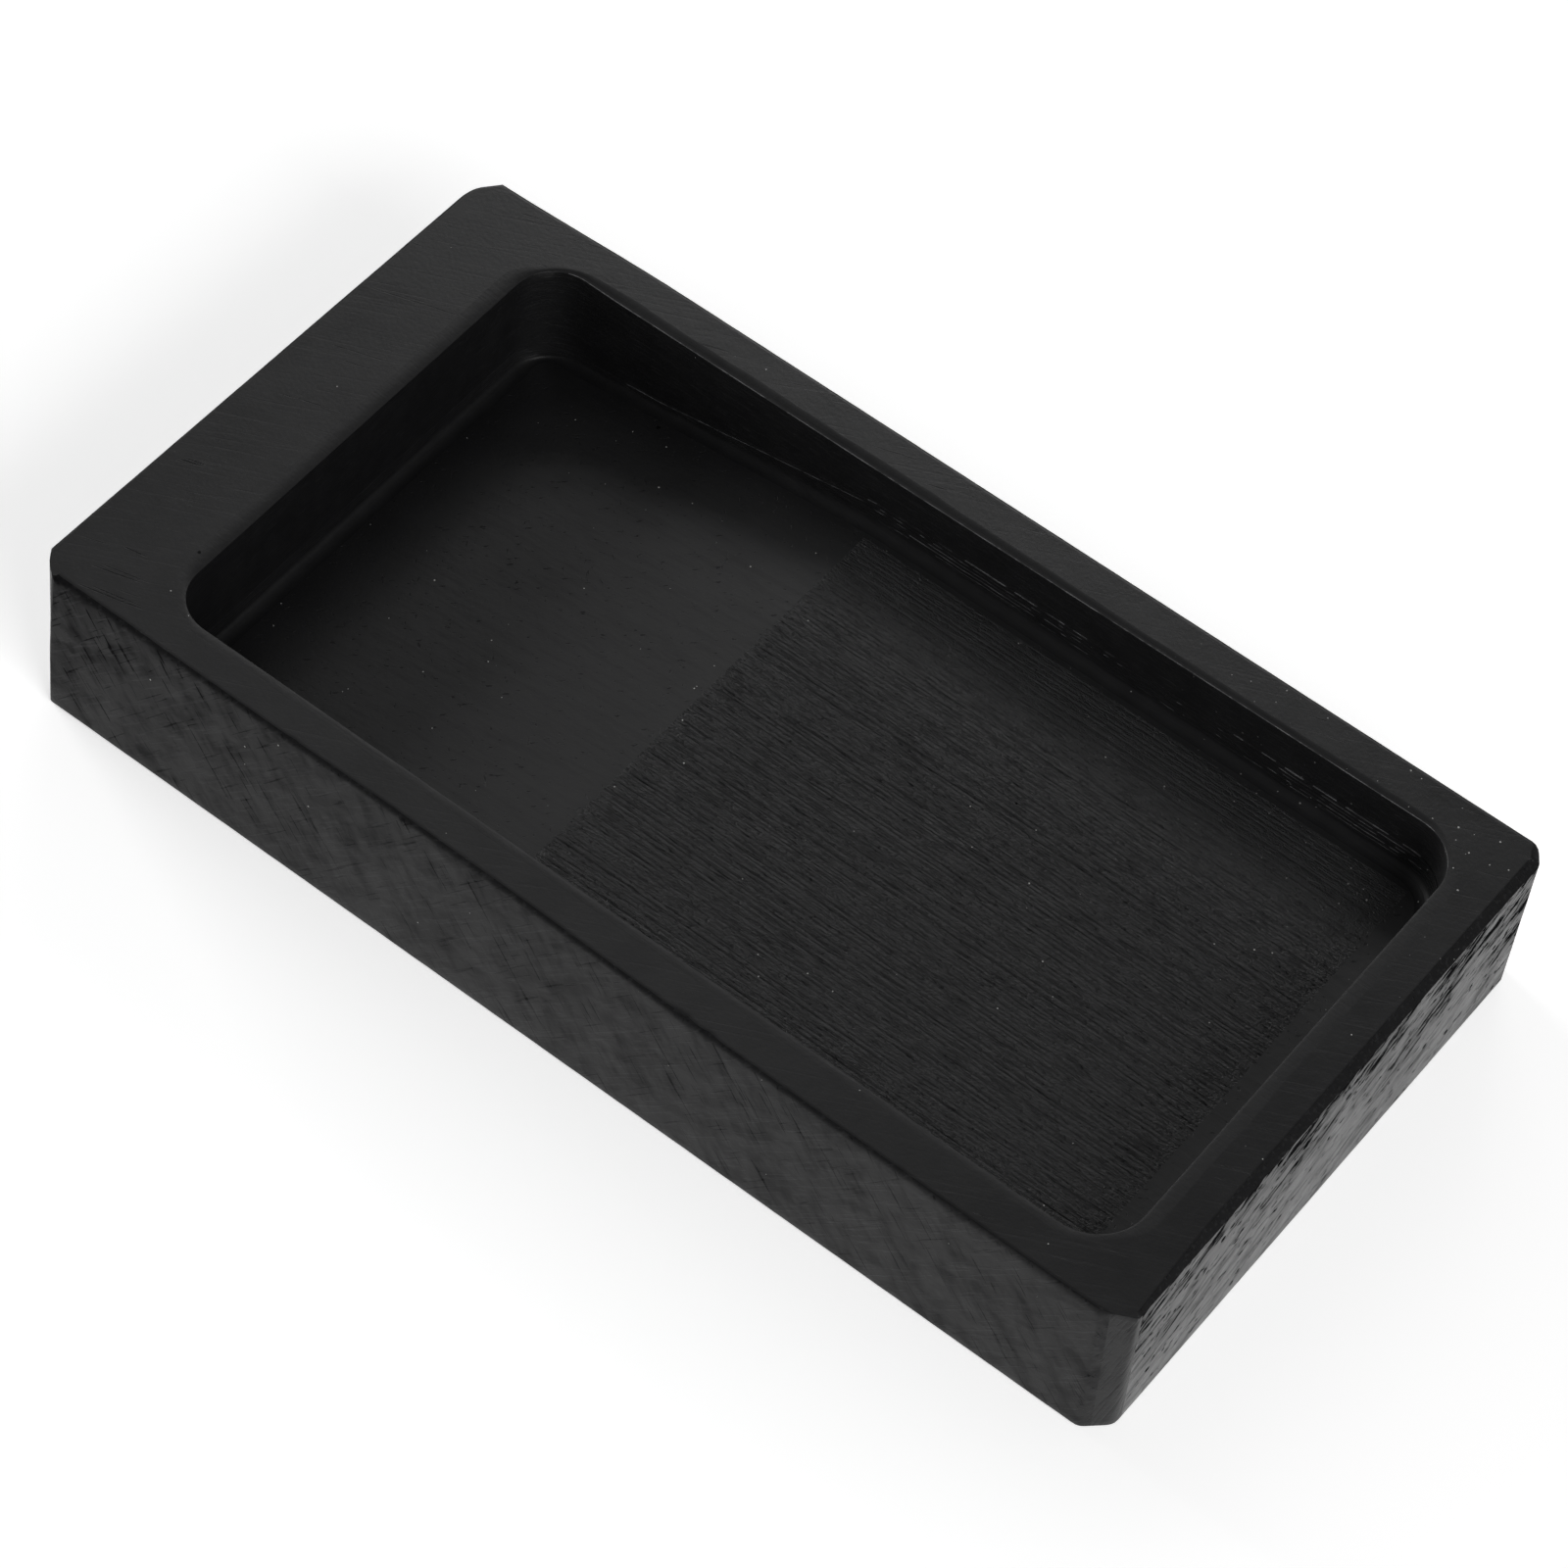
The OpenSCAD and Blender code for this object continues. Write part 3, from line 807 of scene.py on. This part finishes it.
def stone_material(colours, look):
    """One finish of the black stone."""
    material = bpy.data.materials.new(look["name"])
    material.use_nodes = True
    tree = material.node_tree
    shader = tree.nodes["Principled BSDF"]
    spot = add(tree, "ShaderNodeTexCoord")
    place = add(tree, "ShaderNodeVectorMath", {0: spot.outputs["Object"], "Scale": 1 / MM},
                operation="SCALE").outputs[0]
    # Masks, each with what it adds to the height in millimetres, to the roughness, to the
    # share of the paler colour or to the mirror
    heights = [(patches(tree, place, size, 0.2, 0.8), depth) for size, depth in look["grain"]]
    rough = [(patches(tree, place, look["cloud"], 0.35, 0.65), look["uneven"])]
    pale = [(patches(tree, place, 0.6 * look["cloud"], 0.4, 0.7), 0.3)]
    along = add(tree, "ShaderNodeSeparateXYZ", {0: place})
    # Masks that rise towards the head, the far side and the foot, between two places in
    # millimetres from the middle
    masks = []
    for axis, low, high in ((0, -22, -62), (1, 12, 28), (0, 20, 62)):
        masks.append(add(tree, "ShaderNodeMapRange", {
            "Value": along.outputs[axis], "From Min": low, "From Max": high,
        }).outputs[0])
    head, far, foot = masks
    # The mirror falls with height and towards the head and changes towards the far side and the
    # foot, by each finish's fade, head, far and foot: painted light and shade across the faces
    mirror = [(along.outputs[2], -look["mirror"] * look["fade"] * MM / SLAB_HIGH.z),
              (head, -look["mirror"] * look["head"]), (far, look["mirror"] * look["far"]),
              (foot, look["mirror"] * look.get("foot", 0))]
    for turn, size, low, high, depth, dulling, paling, darkening in look["streaks"]:
        marks = streaks(tree, place, turn, size, low, high)
        heights.append((marks, depth))
        rough.append((marks, dulling))
        pale.append((marks, paling))
        # Marks that darken lose mirror, painted shade in them; a negative darkening gives them
        # more
        mirror.append((marks, -look["mirror"] * darkening))
    for drawn in look.get("scratches", ()):
        marks = scratch(tree, place, *drawn)
        heights.append((marks, -0.1))
        # Each single scratch loses most of its mirror, painted shade in it
        mirror.append((marks, -0.6 * look["mirror"]))
    pits = spots(tree, place, *look["pits"])
    heights.append((pits, -0.08))
    # More dust lies in the corner of the foot and the far side
    gathered = add(tree, "ShaderNodeMath", {0: far, 1: foot}, operation="MULTIPLY").outputs[0]
    gathered = add(tree, "ShaderNodeMath", {
        0: gathered, 1: spots(tree, place, 0.8, 0.1, 0.5),
    }, operation="MULTIPLY").outputs[0]
    dust = add(tree, "ShaderNodeMath", {
        0: gathered, 1: spots(tree, place, *look["dust"]),
    }, operation="MAXIMUM").outputs[0]
    rough.append((dust, 0.4))
    # The pits lose most of their mirror, painted shade inside them
    mirror.append((pits, -0.8 * look["mirror"]))

    bump = add(tree, "ShaderNodeBump", {"Height": total(tree, heights), "Distance": MM})
    paler = getattr(colours, look.get("paler", "rubbed"))
    stone = blend(tree, total(tree, pale), (*colours.stone, 1), (*paler, 1))
    # The pits go over to the darker pit colour, painted shade inside them
    stone = blend(tree, pits, stone, (*colours.painted_pit_shade, 1))
    tree.links.new(bump.outputs[0], shader.inputs["Normal"])
    tree.links.new(total(tree, rough, look["rough"]), shader.inputs["Roughness"])
    tree.links.new(blend(tree, dust, stone, (*colours.dust, 1)), shader.inputs["Base Color"])
    shader.inputs["IOR"].default_value = 1.5
    tree.links.new(total(tree, mirror, look["mirror"]), shader.inputs["Specular IOR Level"])
    return material


class INKSTONE_OT_slab(bpy.types.Operator):
    """Make the slab with its worn edges, pocket and scored bed"""

    bl_idname = "inkstone.slab"
    bl_label = "Slab"

    def execute(self, context):
        scene = context.scene
        skin = slab_mesh(scene.stone_sizes, scene.stone_wear)
        mesh = bpy.data.meshes.new("ink_stone_slab")
        mesh.from_pydata(np.concatenate(skin.points).tolist(), [], skin.faces)
        for look in LOOKS:
            mesh.materials.append(stone_material(scene.stone_colours, look))
        mesh.polygons.foreach_set("material_index", skin.finishes)
        shaped = bmesh.new()
        shaped.from_mesh(mesh)
        bmesh.ops.recalc_face_normals(shaped, faces=shaped.faces)
        open_edges = [e for e in shaped.edges if len(e.link_faces) != 2]
        shaped.to_mesh(mesh)
        shaped.free()
        if open_edges:
            raise RuntimeError(f"the slab's mesh is open at {len(open_edges)} edges")
        mesh.polygons.foreach_set("use_smooth", [True] * len(mesh.polygons))
        mesh.set_sharp_from_angle(angle=math.radians(50))
        slab = bpy.data.objects.new("ink_stone_slab", mesh)
        context.collection.objects.link(slab)
        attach(slab, "root")
        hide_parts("slab")
        return {"FINISHED"}


# Size in metres, power in watts and place of each lamp. The window lights the near side and
# the foot. The head card stands low beyond the head, so that the top mirrors it and the walls
# of the pocket do not. The others are faint, and the far border and the pocket's floor mirror
# them.
LAMPS = (
    ("window", (0.4, 0.25), 2.24, (0.511, -0.207, 0.431)),
    ("head card", (0.45, 0.4), 7.4, (-0.969, 0.136, 0.208)),
    ("far lamp", (0.4, 0.3), 0.75, (-0.489, 0.782, 0.599)),
    ("foot lamp", (0.4, 0.3), 0.49, (-0.233, 0.870, 0.631)),
    ("ceiling", (0.4, 0.4), 0.13, (-0.384, 0.346, 0.971)),
)
# Place, directions to its right and up, and focal length of the camera, which looks down over
# the near corner at the foot
CAMERA_PLACE = Vector((163.98, -264.90, 425.90)) * MM
CAMERA_RIGHT = Vector((0.78725, 0.61135, 0.08049))
CAMERA_UP = Vector((-0.53113, 0.60599, 0.59218))
CAMERA_LENS = 123.59
# Half the width of the floor, in metres
FLOOR_REACH = 8


def area_lamp(name, size, power, place):
    """Adds a soft rectangular lamp that points at the middle of the slab's top."""
    data = bpy.data.lights.new(name, "AREA")
    data.shape = "RECTANGLE"
    data.size, data.size_y = size
    data.energy = power
    lamp = bpy.data.objects.new(name, data)
    bpy.context.collection.objects.link(lamp)
    lamp.location = place
    lamp.rotation_mode = "QUATERNION"
    aim = Vector((0, 0, SLAB_HIGH.z)) - Vector(place)
    lamp.rotation_quaternion = aim.to_track_quat("-Z", "Y")


def studio_floor(look):
    """Adds the wide flat floor that the slab stands on."""
    mesh = bpy.data.meshes.new("floor")
    shaped = bmesh.new()
    bmesh.ops.create_grid(shaped, x_segments=1, y_segments=1, size=FLOOR_REACH)
    shaped.to_mesh(mesh)
    shaped.free()
    mesh.materials.append(floor_material(look))
    floor = bpy.data.objects.new("floor", mesh)
    bpy.context.collection.objects.link(floor)


def studio_camera():
    """Adds the camera and looks through it."""
    data = bpy.data.cameras.new("camera")
    data.sensor_width = 36
    data.lens = CAMERA_LENS
    data.clip_start, data.clip_end = 0.01, 20
    camera = bpy.data.objects.new("camera", data)
    bpy.context.collection.objects.link(camera)
    back = CAMERA_RIGHT.cross(CAMERA_UP)
    turn = Matrix((CAMERA_RIGHT, CAMERA_UP, back)).transposed().to_4x4()
    camera.matrix_world = Matrix.Translation(CAMERA_PLACE) @ turn
    bpy.context.scene.camera = camera


class INKSTONE_OT_stage(bpy.types.Operator):
    """Make the floor, the lamps, the room's light and the camera"""

    bl_idname = "inkstone.stage"
    bl_label = "Stage"

    def execute(self, context):
        look = context.scene.stage_look
        studio_floor(look)
        for name, size, power, place in LAMPS:
            area_lamp(name, size, power * look.power, place)
        room_light(look)
        studio_camera()
        context.scene.view_settings.view_transform = "Standard"
        return {"FINISHED"}


def floor_material(look):
    """Matt pale paint. What the camera and reflections see of it is lifted to white."""
    material = bpy.data.materials.new("Pale floor")
    material.use_nodes = True
    tree = material.node_tree
    tree.nodes.clear()
    ray = add(tree, "ShaderNodeLightPath")
    seen = ray.outputs["Is Camera Ray"]
    for kind in ("Is Glossy Ray", "Is Transmission Ray"):
        seen = add(tree, "ShaderNodeMath", {0: seen, 1: ray.outputs[kind]},
                   operation="MAXIMUM").outputs[0]
    # Half a unit of glow brings the lit paint up to white, and leaves the shadow grey
    lift = add(tree, "ShaderNodeMath", {0: seen, 1: 0.5}, operation="MULTIPLY")
    glow = add(tree, "ShaderNodeEmission", {"Strength": lift.outputs[0]})
    paint = add(tree, "ShaderNodeBsdfDiffuse", {"Color": (*look.floor, 1)})
    both = add(tree, "ShaderNodeAddShader", {0: paint.outputs[0], 1: glow.outputs[0]})
    add(tree, "ShaderNodeOutputMaterial", {"Surface": both.outputs[0]})
    return material


def room_light(look):
    """A grey room that is pale near the horizon."""
    world = bpy.data.worlds.new("room")
    bpy.context.scene.world = world
    world.use_nodes = True
    tree = world.node_tree
    tree.nodes.clear()
    place = add(tree, "ShaderNodeTexCoord")
    split = add(tree, "ShaderNodeSeparateXYZ", {0: place.outputs["Generated"]})
    pale = add(tree, "ShaderNodeMapRange", {
        "Value": split.outputs["Z"], "From Min": 0.12, "From Max": 0.3,
        "To Min": 0.9, "To Max": look.sky,
    }, interpolation_type="SMOOTHSTEP")
    glow = add(tree, "ShaderNodeBackground", {"Strength": pale.outputs[0]})
    add(tree, "ShaderNodeOutputWorld", {"Surface": glow.outputs[0]})


class INKSTONE_PT_panel(bpy.types.Panel):
    """Lists what makes the ink stone"""

    bl_idname = "INKSTONE_PT_panel"
    bl_label = "Ink stone"
    bl_space_type = "VIEW_3D"
    bl_region_type = "UI"
    bl_category = "Ink stone"

    def draw(self, context):
        scene = context.scene
        for group in (scene.stone_sizes, scene.stone_wear, scene.stone_colours, scene.stage_look):
            box = self.layout.box()
            for name in group.bl_rna.properties.keys():
                if name not in ("rna_type", "name"):
                    box.prop(group, name)
        for operator in OPERATORS:
            self.layout.operator(operator.bl_idname)


GROUPS = {
    "stone_sizes": StoneSizes,
    "stone_wear": StoneWear,
    "stone_colours": StoneColours,
    "stage_look": StageLook,
}
OPERATORS = (INKSTONE_OT_slab, INKSTONE_OT_stage)


def register():
    for name, group in GROUPS.items():
        bpy.utils.register_class(group)
        setattr(bpy.types.Scene, name, PointerProperty(type=group))
    for kind in (*OPERATORS, INKSTONE_PT_panel):
        bpy.utils.register_class(kind)


def unregister():
    for kind in (INKSTONE_PT_panel, *reversed(OPERATORS)):
        bpy.utils.unregister_class(kind)
    for name, group in GROUPS.items():
        delattr(bpy.types.Scene, name)
        bpy.utils.unregister_class(group)


def main():
    """Makes the stone and its stage."""
    register()
    bpy.ops.inkstone.slab()
    bpy.ops.inkstone.stage()


if __name__ == "__main__":
    main()
